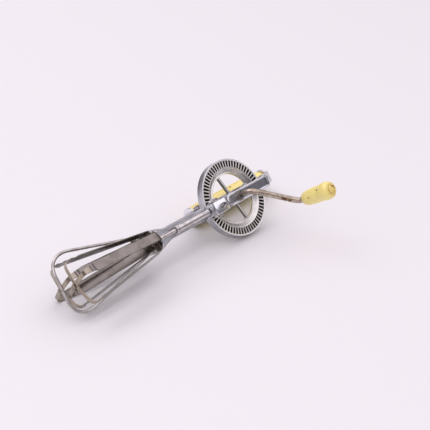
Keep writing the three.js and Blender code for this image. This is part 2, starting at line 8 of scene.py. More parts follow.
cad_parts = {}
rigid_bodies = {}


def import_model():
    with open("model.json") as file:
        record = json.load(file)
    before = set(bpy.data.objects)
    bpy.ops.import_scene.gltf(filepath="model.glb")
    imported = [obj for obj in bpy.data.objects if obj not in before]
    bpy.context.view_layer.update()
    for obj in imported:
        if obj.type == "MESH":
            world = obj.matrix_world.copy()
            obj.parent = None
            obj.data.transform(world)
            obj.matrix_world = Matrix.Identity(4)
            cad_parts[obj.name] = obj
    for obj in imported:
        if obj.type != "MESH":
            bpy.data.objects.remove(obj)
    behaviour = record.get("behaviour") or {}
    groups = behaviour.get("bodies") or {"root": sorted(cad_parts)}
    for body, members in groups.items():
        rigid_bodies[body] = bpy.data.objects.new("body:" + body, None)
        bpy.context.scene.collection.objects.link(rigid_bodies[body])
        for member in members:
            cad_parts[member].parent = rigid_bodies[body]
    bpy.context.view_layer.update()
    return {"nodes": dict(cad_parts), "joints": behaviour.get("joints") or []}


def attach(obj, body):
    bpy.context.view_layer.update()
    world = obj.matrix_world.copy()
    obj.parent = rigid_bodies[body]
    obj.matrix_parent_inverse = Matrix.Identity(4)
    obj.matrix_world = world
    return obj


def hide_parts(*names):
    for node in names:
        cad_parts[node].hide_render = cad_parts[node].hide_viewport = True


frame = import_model()

# ---- The table, the light and the eye ----
# A wide sheet of pale paper under soft light: a big diffuser behind and to the left,
# a smaller one in front, and a room that is bright overhead and grey low down.
table_colour = (0.79, 0.785, 0.79, 1)
fibre_colour = (0.76, 0.755, 0.76, 1)
fibre_size = 0.002
table_size = 9.0


class Field:
    """A value, colour or direction that changes over a surface. Its sums add Math nodes."""

    def __init__(self, finish, socket):
        self.finish = finish
        self.socket = socket

    def sum(self, operation, *terms):
        return self.finish.node("ShaderNodeMath", {"operation": operation}, dict(enumerate(terms)))

    def __add__(self, other):
        return self.sum("ADD", self, other)

    def __sub__(self, other):
        return self.sum("SUBTRACT", self, other)

    def __rsub__(self, other):
        return self.sum("SUBTRACT", other, self)

    def __mul__(self, other):
        return self.sum("MULTIPLY", self, other)

    def __pow__(self, other):
        return self.sum("POWER", self, other)

    def __abs__(self):
        return self.sum("ABSOLUTE", self)

    __radd__ = __add__
    __rmul__ = __mul__

    def between(self, low, high):
        """0 at low and 1 at high, smoothly, whichever of the two is larger."""
        ease = {"interpolation_type": "SMOOTHSTEP"}
        links = {"Value": self, "From Min": low, "From Max": high}
        return self.finish.node("ShaderNodeMapRange", ease, links)

    def band(self, rise, fall):
        """1 between the two ranges, and 0 on the far side of each."""
        return self.between(*rise) * (1 - self.between(*fall))


class Finish:
    """One surface finish on a Principled shader, or the room's light on a Background shader."""

    def __init__(self, name, library=bpy.data.materials, shader="Principled BSDF", **constants):
        self.holder = library.new(name)
        self.holder.use_nodes = True
        self.tree = self.holder.node_tree
        self.shader = self.tree.nodes[shader]
        self.shades(**constants)

    def node(self, kind, settings=None, links=None, out=0):
        made = self.tree.nodes.new(kind)
        for setting, value in (settings or {}).items():
            if setting == "stops":
                ramp = made.color_ramp
                while len(ramp.elements) < len(value):
                    ramp.elements.new(1)
                for element, (place, colour) in zip(ramp.elements, value):
                    element.position = place
                    element.color = colour
            else:
                setattr(made, setting, value)
        for socket, value in (links or {}).items():
            self.join(made.inputs[socket], value)
        return Field(self, made.outputs[out])

    def join(self, socket, value):
        if isinstance(value, Field):
            self.tree.links.new(value.socket, socket)
        else:
            socket.default_value = value

    def shades(self, **values):
        for socket, value in values.items():
            self.join(self.shader.inputs[socket.replace("_", " ")], value)

    def blend(self, share, first, second):
        """The first colour where share is 0, the second where it is 1."""
        kinds = {"data_type": "RGBA", "clamp_factor": True}
        return self.node("ShaderNodeMix", kinds, {0: share, 6: first, 7: second}, out=2)

    def noise(self, place, size, detail=2, stretch=None):
        """Cloudy noise with lumps of about this size in millimetres, drawn out along an axis."""
        if stretch:
            drawn_out = {"operation": "MULTIPLY"}
            place = self.node("ShaderNodeVectorMath", drawn_out, {0: place, 1: stretch})
        links = {"Vector": place, "Scale": 1 / size, "Detail": detail}
        return self.node("ShaderNodeTexNoise", {"normalize": True}, links)

    def relief(self, height, depth):
        """A Bump node; depth is in metres."""
        return self.node("ShaderNodeBump", None, {"Height": height, "Distance": depth})


paper = Finish("table_paper", Roughness=0.6)
paper_place = paper.node("ShaderNodeTexCoord", out="Object")
fibre = paper.noise(paper_place, fibre_size, detail=4)
paper.shades(Base_Color=paper.blend(fibre * 0.06, table_colour, fibre_colour))

table_mesh = bmesh.new()
bmesh.ops.create_grid(table_mesh, x_segments=2, y_segments=2, size=table_size / 2)
table_data = bpy.data.meshes.new("table")
table_mesh.to_mesh(table_data)
table_mesh.free()
table_data.materials.append(paper.holder)
table = bpy.data.objects.new("table", table_data)
bpy.context.scene.collection.objects.link(table)

# The tool's own axes: along from the beaters to the handle, out along the crank's axle
# to the knob, side across the straps. Sizes are in millimetres from the wheel's centre.
joints = {joint["name"]: joint for joint in frame["joints"]}
along = Vector(joints["front_beater_spin"]["axis"]).normalized()
outwards = Vector(joints["crank_spin"]["axis"]).normalized()
sideways = along.cross(outwards).normalized()
lie = Matrix((along, outwards, sideways)).transposed().to_4x4()
lie.translation = Vector(joints["crank_spin"]["pos_m"])
turn_of_tool = lie.to_3x3()
lie = lie @ Matrix.Scale(0.001, 4)

eye_right = Vector((0.67423, 0.59498, 0.43751))
eye_forward = Vector((0.63649, -0.7686, 0.06436))
eye_back = -(turn_of_tool @ eye_forward).normalized()
eye_x = (turn_of_tool @ eye_right).normalized()
eye_x = (eye_x - eye_back * eye_x.dot(eye_back)).normalized()
eye = bpy.data.objects.new("eye", bpy.data.cameras.new("eye"))
eye_spot = Vector((-608.04, 697.49, -51.7))
eye.matrix_world = Matrix((eye_x, eye_back.cross(eye_x), eye_back)).transposed().to_4x4()
eye.location = lie @ eye_spot
eye.data.lens = 75.35
eye.data.sensor_width = 36
eye.data.clip_start = 0.05
bpy.context.scene.collection.objects.link(eye)
bpy.context.scene.camera = eye


lamp_aim = Vector((0, 0, 0.03))


def lamp(name, spot, size, watts, colour):
    light = bpy.data.lights.new(name, "AREA")
    light.shape = "RECTANGLE"
    light.size, light.size_y = size
    light.energy = watts
    light.color = colour
    holder = bpy.data.objects.new(name, light)
    holder.location = spot
    holder.rotation_euler = (lamp_aim - Vector(spot)).to_track_quat("-Z", "Y").to_euler()
    bpy.context.scene.collection.objects.link(holder)


lamp("big_diffuser", (-0.45, 1.5, 2.2), (2.4, 2.0), 13, (1, 0.93, 0.98))
lamp("front_diffuser", (-1.6, -1.3, 1.3), (1.2, 1.2), 3.5, (1, 0.93, 0.96))

room_levels = (
    (0, (0.12, 0.112, 0.12, 1)),
    (0.42, (0.23, 0.216, 0.235, 1)),
    (0.6, (0.95, 0.89, 0.96, 1)),
    (1, (1, 0.94, 1, 1)),
)
room = Finish("room", bpy.data.worlds, "Background", Strength=1.3)
room_place = room.node("ShaderNodeTexCoord", out="Generated")
room_height = room.node("ShaderNodeSeparateXYZ", None, {0: room_place}, out="Z")
room.shades(Color=room.node("ShaderNodeValToRGB", {"stops": room_levels}, {0: room_height}))
bpy.context.scene.world = room.holder
bpy.context.scene.view_settings.view_transform = "Standard"

# ---- The two straps ----
# Plated spring-steel strip, 12.6 mm wide and 1.3 mm thick, bent by a press. Each runs from
# the yoke past the sleeves, steps out over its pinion and runs on beside the wheel. The front
# one has raised edges beside the wheel and turns over it to the eye that holds the grip.
strip_half = 6.3
strip_thick = 1.3
yoke_face = -117.0
flare_from = -96.3
flare_half = 11.05
hump_low = -46.29
hump_high = -27.07
bench_level = 7.93
hump_level = 24.76
bead_inset = 1.0
bead_height = 0.95
bead_width = 0.7
crown_height = 0.9
corner_steps = 12


def bent_line(corners, spacing):
    """Evenly spaced points along straight runs whose inner corners (x, y, radius) are rounded."""
    marks = [Vector(corners[0][:2])]
    for before, corner, after in zip(corners, corners[1:], corners[2:]):
        at = Vector(corner[:2])
        back = Vector(before[:2]) - at
        on = Vector(after[:2]) - at
        trim = corner[2] * tan((pi - back.angle(on)) / 2)
        trim = min(trim, back.length * 0.48, on.length * 0.48)
        start = at + back.normalized() * trim
        end = at + on.normalized() * trim
        for step in range(corner_steps + 1):
            share = step / corner_steps
            marks.append(start.lerp(at, share).lerp(at.lerp(end, share), share))
    marks.append(Vector(corners[-1][:2]))
    whole = sum((b - a).length for a, b in zip(marks, marks[1:]))
    count = max(2, round(whole / spacing))
    line = []
    done = 0.0
    for a, b in zip(marks, marks[1:]):
        run = (b - a).length
        while len(line) < count and len(line) * whole / count <= done + run + 1e-9:
            line.append(a.lerp(b, (len(line) * whole / count - done) / run if run > 1e-9 else 0))
        done += run
    line.append(marks[-1])
    return line


def soften(mesh, offset, sharper_than=40, segments=2):
    """Rounds off every edge where two faces meet at a sharp angle."""
    sharp = radians(sharper_than)
    edges = [e for e in mesh.edges if e.is_manifold and e.calc_face_angle(0) > sharp]
    bmesh.ops.bevel(mesh, geom=edges, offset=offset, offset_type="OFFSET", segments=segments,
                    profile=0.5, affect="EDGES", clamp_overlap=True, material=-1)


def bent_strip(line, half_width, columns, rise=None, thick=strip_thick):
    """A strip along a line in x and y; rise lifts its face here and there."""
    mesh = bmesh.new()
    rows = len(line) - 1
    travel = [0.0]
    for a, b in zip(line, line[1:]):
        travel.append(travel[-1] + (b - a).length)
    bmesh.ops.create_grid(mesh, x_segments=rows, y_segments=columns, size=0.5)
    way_out = mesh.verts.layers.float_vector.new("way_out")
    for spot in mesh.verts:
        row = round((spot.co.x + 0.5) * rows)
        lead = line[min(row + 1, rows)] - line[max(row - 1, 0)]
        out = Vector((-lead.y, lead.x, 0)).normalized()
        across = spot.co.y * 2 * half_width(line[row].x)
        lift = rise(line[row].x, travel[row], across) if rise else 0
        spot.co = line[row].to_3d() + out * (lift - thick / 2) + Vector((0, 0, across))
        spot[way_out] = out
    grown = bmesh.ops.extrude_face_region(mesh, geom=mesh.faces[:])["geom"]
    for spot in grown:
        if isinstance(spot, bmesh.types.BMVert):
            spot.co += spot[way_out] * thick
    mesh.verts.layers.float_vector.remove(way_out)
    bmesh.ops.recalc_face_normals(mesh, faces=mesh.faces)
    return mesh


def turned(profile, steps=64, axis="x"):
    """A piece spun about x, or about y, from a list of (distance along, radius)."""
    mesh = bmesh.new()
    points = [mesh.verts.new((t, r, 0)) for t, r in profile]
    edges = [mesh.edges.new(pair) for pair in zip(points, points[1:])]
    if profile[0][1] > 0.01 and profile[-1][1] > 0.01:
        edges.append(mesh.edges.new((points[-1], points[0])))
    bmesh.ops.spin(mesh, geom=points + edges, cent=(0, 0, 0), axis=(1, 0, 0), dvec=(0, 0, 0),
                   angle=tau, steps=steps, use_merge=True)
    bmesh.ops.remove_doubles(mesh, verts=mesh.verts, dist=0.0005)
    if axis == "y":
        tilt(mesh, pi / 2, "Z")
    bmesh.ops.recalc_face_normals(mesh, faces=mesh.faces)
    return mesh


def tilt(mesh, angle, axis):
    bmesh.ops.rotate(mesh, cent=(0, 0, 0), matrix=Matrix.Rotation(angle, 3, axis), verts=mesh.verts)


def shift(mesh, x=0.0, y=0.0, z=0.0):
    bmesh.ops.translate(mesh, vec=(x, y, z), verts=mesh.verts)
    return mesh


def held(name, mesh):
    data = bpy.data.meshes.new(name)
    mesh.to_mesh(data)
    mesh.free()
    thing = bpy.data.objects.new(name, data)
    bpy.context.scene.collection.objects.link(thing)
    return thing


def drilled(mesh, *drills):
    """The mesh with each solid drill taken out of it."""
    work = held("work", mesh)
    for number, drill in enumerate(drills):
        bit = held(f"bit_{number}", drill)
        cut = work.modifiers.new("cut", "BOOLEAN")
        cut.operation = "DIFFERENCE"
        cut.solver = "EXACT"
        cut.object = bit
    bpy.context.view_layer.update()
    eaten = work.evaluated_get(bpy.context.evaluated_depsgraph_get())
    done = bmesh.new()
    data = bpy.data.meshes.new_from_object(eaten)
    done.from_mesh(data)
    bpy.data.meshes.remove(data)
    for thing in [bpy.data.objects[f"bit_{n}"] for n in range(len(drills))] + [work]:
        spent = thing.data
        bpy.data.objects.remove(thing)
        bpy.data.meshes.remove(spent)
    return done


def drill_rod(low, high, radius, axis="x"):
    return turned([(low, 0), (low, radius), (high, radius), (high, 0)], 32, axis)


crisp_angle = radians(32)


def put(name, mesh, body, slot, finish, *stands_for):
    """Lays a finished mesh on the table with the tool, and gives it its finish."""
    bmesh.ops.transform(mesh, matrix=lie, verts=mesh.verts)
    for face in mesh.faces:
        face.smooth = True
    for edge in mesh.edges:
        edge.smooth = edge.calc_face_angle(0) < crisp_angle
    piece = held(name, mesh)
    piece.data.materials.append(finish.holder)
    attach(piece, body)
    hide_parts(*stands_for)


def tool_place(finish):
    """Object coordinates turned to the tool's axes, in millimetres from the wheel's centre."""
    back = turn_of_tool.inverted()
    origin = -(back @ Vector(joints["crank_spin"]["pos_m"])) * 1000
    spot = finish.node("ShaderNodeTexCoord", out="Object")
    links = {"Vector": spot, "Location": origin, "Rotation": back.to_euler(), "Scale": (1000,) * 3}
    return finish.node("ShaderNodeMapping", {"vector_type": "POINT"}, links)


def axis_of(finish, place, number):
    return finish.node("ShaderNodeSeparateXYZ", None, {0: place}, out=number)


edge_worn = (5.4, 6.5)
hump_ends = ((-47.5, -45), (-27, -22))
hump_top = (22, 25)
channel_ends = ((-20, -15.5), (45, 48.6))
channel_face = (8, 12)
channel_edge = (3.4, 4.9)
plated_clean = (0.60, 0.61, 0.64, 1)
plated_dull = (0.46, 0.46, 0.49, 1)
plated_worn = (0.72, 0.71, 0.70, 1)
plated_channel_painted_shade = (0.24, 0.245, 0.27, 1)
plated_hump_painted_highlight = (0.88, 0.89, 0.93, 1)
plated_pitted = (0.11, 0.085, 0.06, 1)
plated = Finish("plated_steel", Metallic=1.0)
plated_place = tool_place(plated)
plated_cloud = plated.noise(plated_place, 11, detail=3)
plated_lines = plated.noise(plated_place, 0.35, stretch=(0.06, 1, 1))
plated_pits = plated.noise(plated_place, 0.9, detail=3).between(0.66, 0.74)
plated_x, plated_y, plated_z = (axis_of(plated, plated_place, n) for n in range(3))
plated_rub = abs(plated_z).between(*edge_worn)
plated_hump_highlight_and_polish = plated_x.band(*hump_ends) * abs(plated_y).between(*hump_top)
plated_channel_shade_mask = plated_x.band(*channel_ends) * plated_y.between(*channel_face)
plated_channel_shade_mask = plated_channel_shade_mask * (1 - abs(plated_z).between(*channel_edge))
plated_colour = plated.blend(plated_cloud.between(0.35, 0.7), plated_clean, plated_dull)
plated_colour = plated.blend(plated_rub * plated_cloud, plated_colour, plated_worn)
# The channel beside the wheel is painted darker grey: painted shade standing in for the dark
# reflection there.
plated_colour = plated.blend(plated_channel_shade_mask * 0.85, plated_colour, plated_channel_painted_shade)
# The humps' tops are painted near white, a painted highlight, and are also made less rough.
plated_colour = plated.blend(plated_hump_highlight_and_polish * 0.8, plated_colour, plated_hump_painted_highlight)
plated_colour = plated.blend(plated_pits * 0.8, plated_colour, plated_pitted)
plated.shades(
    Base_Color=plated_colour,
    Roughness=(plated_lines + plated_cloud) * 0.12 + plated_pits * 0.3 + 0.15 - plated_hump_highlight_and_polish * 0.1,
    Normal=plated.relief(plated_lines * 0.15 + plated_cloud * 2 - plated_pits * 0.6, 0.00003),
)


def strap_half(x):
    """Half the strap's width: it flares towards the yoke."""
    share = min(max((flare_from - x) / (flare_from - yoke_face), 0), 1)
    return strip_half + (flare_half - strip_half) * share * share * (3 - 2 * share)


def front_rise(x, travel, z):
    """The raised bead round the strap's edges beside the wheel, and the hump's crowned top."""
    reach = strip_half - bead_inset
    inside = min(max(x, bead_from + reach), bead_to - reach)
    off = abs(hypot(x - inside, z) - reach)
    crown = crown_height * (z / strip_half) ** 2 if hump_low - 1 < x < hump_high else 0
    return bead_height * exp(-((off / bead_width) ** 2)) - crown


bead_from = -20.0
bead_to = 43.0
grip_back = -40.5
turn_back = Vector((47.45, 4.0))
eye_corner = Vector((87.7, -27.1))
climb = (eye_corner - turn_back).normalized()
climb_out = Vector((-climb.y, climb.x))
front_corners = [
    (yoke_face, bench_level),
    (hump_low, bench_level, 2.2),
    (hump_low, hump_level, 3.2),
    (hump_high - 2, hump_level, 4.5),
    (hump_high + 4, 16.35, 5),
    (41.45, 16.35, 9),
    (*turn_back, 12),
    (*eye_corner, 5),
    (87.7, grip_back + 2.6),
]
slot_from = -38.3
slot_to = -33.6
slot_half = 2.4
axle_hole = 3.3
shaft_offset = 13.28
shaft_hole = 2.3


def hump_slot():
    """The long hole in the front hump that shows the pinion's teeth."""
    drill = bmesh.new()
    bmesh.ops.create_circle(drill, cap_ends=True, segments=32, radius=slot_half,
                            matrix=Matrix.Rotation(pi / 2, 4, "X"))
    for spot in drill.verts:
        spot.co.x += slot_to if spot.co.x > 0 else slot_from
        spot.co.y = 20
    grown = bmesh.ops.extrude_face_region(drill, geom=drill.faces[:])["geom"]
    deep = [spot for spot in grown if isinstance(spot, bmesh.types.BMVert)]
    bmesh.ops.translate(drill, vec=(0, 10, 0), verts=deep)
    bmesh.ops.recalc_face_normals(drill, faces=drill.faces)
    return drill


front = bent_strip(bent_line(front_corners, 0.55), strap_half, 26, front_rise)
soften(front, 0.28, 60)
front = drilled(
    front,
    hump_slot(),
    shift(drill_rod(hump_low - 3, hump_low + 3, shaft_hole), y=shaft_offset),
    drill_rod(2, 30, axle_hole, "y"),
)
put("front_strap_bent", front, "frame", "frame_steel", plated, "front_strap")

rear_level = -9.55
rear_foot = turn_back + climb * 12 - climb_out * 1.6
rear_tail = turn_back + climb * 29 - climb_out * 1.6
rear_corners = [
    (yoke_face, -bench_level),
    (hump_low, -bench_level, 2.2),
    (hump_low, -hump_level, 3.2),
    (hump_high - 2, -hump_level, 4.5),
    (hump_high + 4, rear_level, 5),
    (30.45, rear_level, 8),
    (rear_foot.x + 1.5, rear_foot.y - 1.4, 6),
    (*rear_tail,),
]
rear = bent_strip(bent_line(rear_corners, 0.55), strap_half, 22)
soften(rear, 0.28, 60)
rear = drilled(
    rear,
    shift(drill_rod(hump_low - 3, hump_low + 3, shaft_hole), y=-shaft_offset),
    drill_rod(-16, -4, axle_hole, "y"),
)
put("rear_strap_bent", rear, "frame", "frame_steel", plated, "rear_strap")

# ---- Rivets of the frame ----
# Mild-steel rivets with low domed heads. Two join the rear strap to the leg that climbs to the
# grip, and two fix the lower arm to the rear strap's hump.
rivet_shank = 1.3


def rivet(low, high, head=2.4, rise=1.15, tail=2.1):
    """A rivet from low to high along x: a domed head at high and a beaten end at low."""
    mesh = turned([
        (low - 0.95, 0), (low - 0.9, tail * 0.55), (low - 0.5, tail * 0.95), (low, tail),
        (low, rivet_shank), (high, rivet_shank),
        (high, head), (high + rise * 0.35, head * 0.96), (high + rise * 0.72, head * 0.72),
        (high + rise * 0.95, head * 0.36), (high + rise, 0),
    ], 32)
    soften(mesh, 0.12, 50)
    return mesh


for number, distance in enumerate((17, 24), 1):
    pin = rivet(-2.85, 0.95)
    tilt(pin, pi / 2 - climb_out.angle(Vector((0, 1))), "Z")
    at = turn_back + climb * distance
    put(f"leg_rivet_{number}", shift(pin, at.x, at.y), "frame", "frame_steel", plated,
        f"top_rivet_{number}")

arm_face = -27.01
for number, x in enumerate((hump_low + 4.2, hump_low + 10.2), 1):
    pin = rivet(23.81, -arm_face + 0.3, tail=1.9)
    tilt(pin, -pi / 2, "Z")
    put(f"hump_rivet_{number}", shift(pin, x), "frame", "frame_steel", plated,
        f"arm_rivet_{number}")

# ---- Yoke plate ----
# A pressed plate 1.4 mm thick across the feet of both straps. The beaters' shafts run through
# two of its holes and the bow's wire is beaten over in the other two.
yoke_low = -118.69
yoke_high = -117.29
yoke_long = 19.78
yoke_wide = 11.55
bow_spread = 8.55


def rounded_plate(low, high, half_y, half_z, squareness=3.2, segments=96):
    """A plate square to x whose outline is a rectangle with well-rounded corners."""
    mesh = bmesh.new()
    bmesh.ops.create_circle(mesh, cap_ends=True, segments=segments, radius=1,
                            matrix=Matrix.Rotation(pi / 2, 4, "Y"))
    for spot in mesh.verts:
        y, z = spot.co.y, spot.co.z
        swell = (abs(y) ** squareness + abs(z) ** squareness) ** (-1 / squareness)
        spot.co = (low, y * swell * half_y, z * swell * half_z)
    grown = bmesh.ops.extrude_face_region(mesh, geom=mesh.faces[:])["geom"]
    lifted = [spot for spot in grown if isinstance(spot, bmesh.types.BMVert)]
    bmesh.ops.translate(mesh, vec=(high - low, 0, 0), verts=lifted)
    bmesh.ops.recalc_face_normals(mesh, faces=mesh.faces)
    return mesh


yoke = rounded_plate(yoke_low, yoke_high, yoke_long, yoke_wide)
soften(yoke, 0.35, 60)
yoke = drilled(
    yoke,
    shift(drill_rod(-122, -114, shaft_hole), y=shaft_offset),
    shift(drill_rod(-122, -114, shaft_hole), y=-shaft_offset),
    shift(drill_rod(-122, -114, 1.8), z=bow_spread),
    shift(drill_rod(-122, -114, 1.8), z=-bow_spread),
)
put("yoke", yoke, "frame", "frame_steel", plated, "yoke_plate")

# ---- Sleeves and their collars ----
# Bright steel tubes 42 mm long that carry the beaters' shafts beside the straps, grooved near
# both ends, each with a grooved collar below it. Both are crimped or brazed to the straps.
sleeve_low = -89.89
sleeve_high = -47.89
sleeve_radius = 3.6
sleeve_bore = 2.4
collar_high = sleeve_low - 0.3
collar_low = collar_high - 3.4
collar_radius = 4.4

bright_clean = (0.62, 0.595, 0.59, 1)
bright_dull = (0.43, 0.40, 0.375, 1)
bright_specked = (0.10, 0.07, 0.045, 1)
bright = Finish("bright_steel", Metallic=1.0)
bright_place = tool_place(bright)
bright_cloud = bright.noise(bright_place, 6, detail=3)
bright_lines = bright.noise(bright_place, 0.3, stretch=(0.05, 1, 1))
bright_specks = bright.noise(bright_place, 0.7).between(0.68, 0.76)
bright_colour = bright.blend(bright_cloud.between(0.4, 0.75), bright_clean, bright_dull)
bright.shades(
    Base_Color=bright.blend(bright_specks * 0.85, bright_colour, bright_specked),
    Roughness=bright_cloud * 0.14 + bright_lines * 0.12 + bright_specks * 0.3 + 0.08,
    Normal=bright.relief(bright_lines * 0.15 + bright_cloud * 2 - bright_specks * 0.5, 0.00002),
)


def hang(name, mesh, side, body, slot, finish, node):
    """Puts a piece on the front beater's axis (side 1) or the rear one's (side -1)."""
    put(name, shift(mesh, y=side * shaft_offset), body, slot, finish, node)


for name, side in (("front", 1), ("rear", -1)):
    tube = turned([
        (sleeve_low, sleeve_bore), (sleeve_low, sleeve_radius), (sleeve_low + 1.1, sleeve_radius),
        (sleeve_low + 1.4, sleeve_radius - 0.22), (sleeve_low + 1.7, sleeve_radius),
        (sleeve_high - 2.4, sleeve_radius), (sleeve_high - 2.1, sleeve_radius - 0.25),
        (sleeve_high - 1.8, sleeve_radius), (sleeve_high, sleeve_radius),
        (sleeve_high, sleeve_bore),
    ])
    soften(tube, 0.2, 50)
    hang(f"{name}_tube", tube, side, "frame", "bright_steel", bright, f"{name}_sleeve")
    ring = turned([
        (collar_low, sleeve_bore), (collar_low, collar_radius - 0.5),
        (collar_low + 0.45, collar_radius),
        (collar_low + 1.25, collar_radius), (collar_low + 1.55, collar_radius - 0.7),
        (collar_low + 1.85, collar_radius - 0.7), (collar_low + 2.15, collar_radius),
        (collar_high - 0.4, collar_radius), (collar_high, collar_radius - 0.45),
        (collar_high, sleeve_bore),
    ])
    soften(ring, 0.12, 35)
    hang(f"{name}_ring", ring, side, "frame", "bright_steel", bright, f"{name}_collar")

# ---- Drive wheel ----
# A die-cast wheel 82 mm across, plated. A ring of 64 radial teeth stands on each face, inside a
# thin lip. The cast dish falls from the teeth to a window with four ribbed spokes.
wheel_radius = 40.95
wheel_half = 4.5
tooth_count = 64
steps_per_tooth = 6
tooth_face = 4.28
tooth_out = 39.6
tooth_in = 31.9
slot_out = 39.0
slot_in = 32.3
slot_depth = 2.7
window = 25.9
hub_radius = 6.5
spoke_angles = (-76, 14, 104, 194)

spoke_plate = (1.6, 4.4)
spoke_rib = (3.6, 1.5)
slot_floor = (tooth_face - 1.1, tooth_face - 0.12)
rim_edge = (wheel_radius - 0.4, wheel_radius - 0.2)
cast_clean = (0.66, 0.665, 0.69, 1)
cast_dull = (0.50, 0.49, 0.49, 1)
cast_dished = (0.80, 0.78, 0.73, 1)
cast_web_painted_shade = (0.20, 0.195, 0.185, 1)
cast_rib_painted_highlight = (0.92, 0.91, 0.89, 1)
cast_land_painted_highlight = (0.93, 0.90, 0.84, 1)
cast_lip_painted_highlight = (0.97, 0.97, 0.97, 1)
cast_walled = (0.42, 0.42, 0.45, 1)
cast_dirt_and_painted_shade = (0.012, 0.010, 0.009, 1)
cast = Finish("cast_wheel", Metallic=1.0)
cast_place = tool_place(cast)
cast_x, cast_y, cast_z = (axis_of(cast, cast_place, n) for n in range(3))
cast_far = (cast_x * cast_x + cast_z * cast_z) ** 0.5
cast_off = abs(cast_y)
cast_cloud = cast.noise(cast_place, 9, detail=3)
cast_grain = cast.noise(cast_place, 0.5, detail=3)
cast_rings = cast.noise(
    cast.node("ShaderNodeCombineXYZ", None, {0: cast_far, 1: cast_off * 1.5}), 0.5)
cast_in_teeth = cast_far.band((slot_in - 0.7, slot_in + 0.2), (slot_out - 0.1, slot_out + 0.3))
cast_sunk = 1 - cast_off.between(*slot_floor)
cast_grime_and_shade = cast_in_teeth * cast_sunk
cast_land = cast_in_teeth * (1 - cast_sunk)
cast_dish = cast_far.band((window - 2, window), (slot_in - 1, slot_in))
cast_wall = cast_far.between(*rim_edge)
cast_lip = cast_far.band((tooth_out - 0.5, tooth_out), rim_edge)
cast_web = cast_far.band((hub_radius, hub_radius + 1), (window - 1.5, window))
cast_rib = cast_web * cast_off.between(1.1, 1.6)
cast_colour = cast.blend(cast_cloud.between(0.35, 0.7), cast_clean, cast_dull)
cast_colour = cast.blend(cast_dish * 0.75, cast_colour, cast_dished)
# The spokes' web is painted dark: painted shade beside the bright ribs.
cast_colour = cast.blend(cast_web * 0.8, cast_colour, cast_web_painted_shade)
# The spokes' ribs are painted near white: a painted highlight along each rib.
cast_colour = cast.blend(cast_rib, cast_colour, cast_rib_painted_highlight)
# The tooth tops and the lip are painted near white: painted highlights.
cast_colour = cast.blend(cast_land * 0.8, cast_colour, cast_land_painted_highlight)
cast_colour = cast.blend(cast_lip, cast_colour, cast_lip_painted_highlight)
cast_colour = cast.blend(cast_wall * 0.6, cast_colour, cast_walled)
# The slot floors between the teeth are painted near black: grime in them and painted shade in their
# depth.
cast_colour = cast.blend(cast_grime_and_shade, cast_colour, cast_dirt_and_painted_shade)
# The painted highlights on ribs, tooth tops and lip are also made rougher.
cast_highlight_lines = cast_land + cast_lip + cast_rib
cast.shades(
    Base_Color=cast_colour,
    Metallic=1 - cast_grime_and_shade * 0.85,
    Roughness=cast_rings * 0.1 + cast_cloud * 0.12 + cast_grime_and_shade * 0.4 + cast_highlight_lines * 0.22 + 0.15,
    Normal=cast.relief(cast_rings * 0.2 + cast_grain * 0.15 + cast_cloud * 2, 0.00003),
)

half_wheel = [
    (1.15, window), (1.75, window + 0.15), (1.95, window + 0.6), (1.75, window + 1.1),
    (1.45, window + 1.5), (1.9, window + 2.3), (3.2, window + 4.2), (3.95, window + 5.2),
    (tooth_face, tooth_in - 0.2), (tooth_face, slot_in), (tooth_face, slot_out),
    (tooth_face, tooth_out), (wheel_half - 0.08, tooth_out + 0.15), (wheel_half, tooth_out + 0.45),
    (wheel_half, wheel_radius - 0.35), (wheel_half - 0.35, wheel_radius),
]
whole_wheel = half_wheel + [(0.6, wheel_radius - 0.12), (-0.6, wheel_radius - 0.12)]
whole_wheel += [(-y, r) for y, r in reversed(half_wheel)]
wheel = turned(whole_wheel, tooth_count * steps_per_tooth, "y")
tooth_step = tau / tooth_count


def in_slot(face):
    """Whether a face of the tooth ring is one of the middle four of a slot's six steps."""
    middle = face.calc_center_median()
    far = hypot(middle.x, middle.z)
    if not (slot_in < far < slot_out and abs(abs(middle.y) - tooth_face) < 0.01):
        return False
    turn = (Vector((middle.x, middle.z)).angle_signed(Vector((1, 0))) / tooth_step + 0.5) % 1
    return 0.2 < turn < 0.8


for face_side in (1, -1):
    floors = [f for f in wheel.faces if in_slot(f) and f.calc_center_median().y * face_side > 0]
    grown = bmesh.ops.extrude_face_region(wheel, geom=floors)["geom"]
    sunk = [spot for spot in grown if isinstance(spot, bmesh.types.BMVert)]
    bmesh.ops.translate(wheel, vec=(0, -face_side * slot_depth, 0), verts=sunk)
    bmesh.ops.delete(wheel, geom=floors, context="FACES")
bmesh.ops.recalc_face_normals(wheel, faces=wheel.faces)
steep = 1.2
crests = [
    e for e in wheel.edges
    if e.calc_face_angle(0) > steep and all(abs(abs(v.co.y) - tooth_face) < 0.02 for v in e.verts)
]
bmesh.ops.bevel(wheel, geom=crests, offset=0.16, offset_type="OFFSET", segments=2, profile=0.5,
                affect="EDGES", clamp_overlap=True, material=-1)

hub = turned([
    (-2.4, axle_hole), (-2.4, hub_radius - 0.5), (-1.9, hub_radius), (1.9, hub_radius),
    (2.4, hub_radius - 0.5), (2.4, 5.2), (2.0, 4.9), (2.0, 4.4), (2.4, 4.1), (2.4, axle_hole),
], 64, "y")
soften(hub, 0.15, 40)


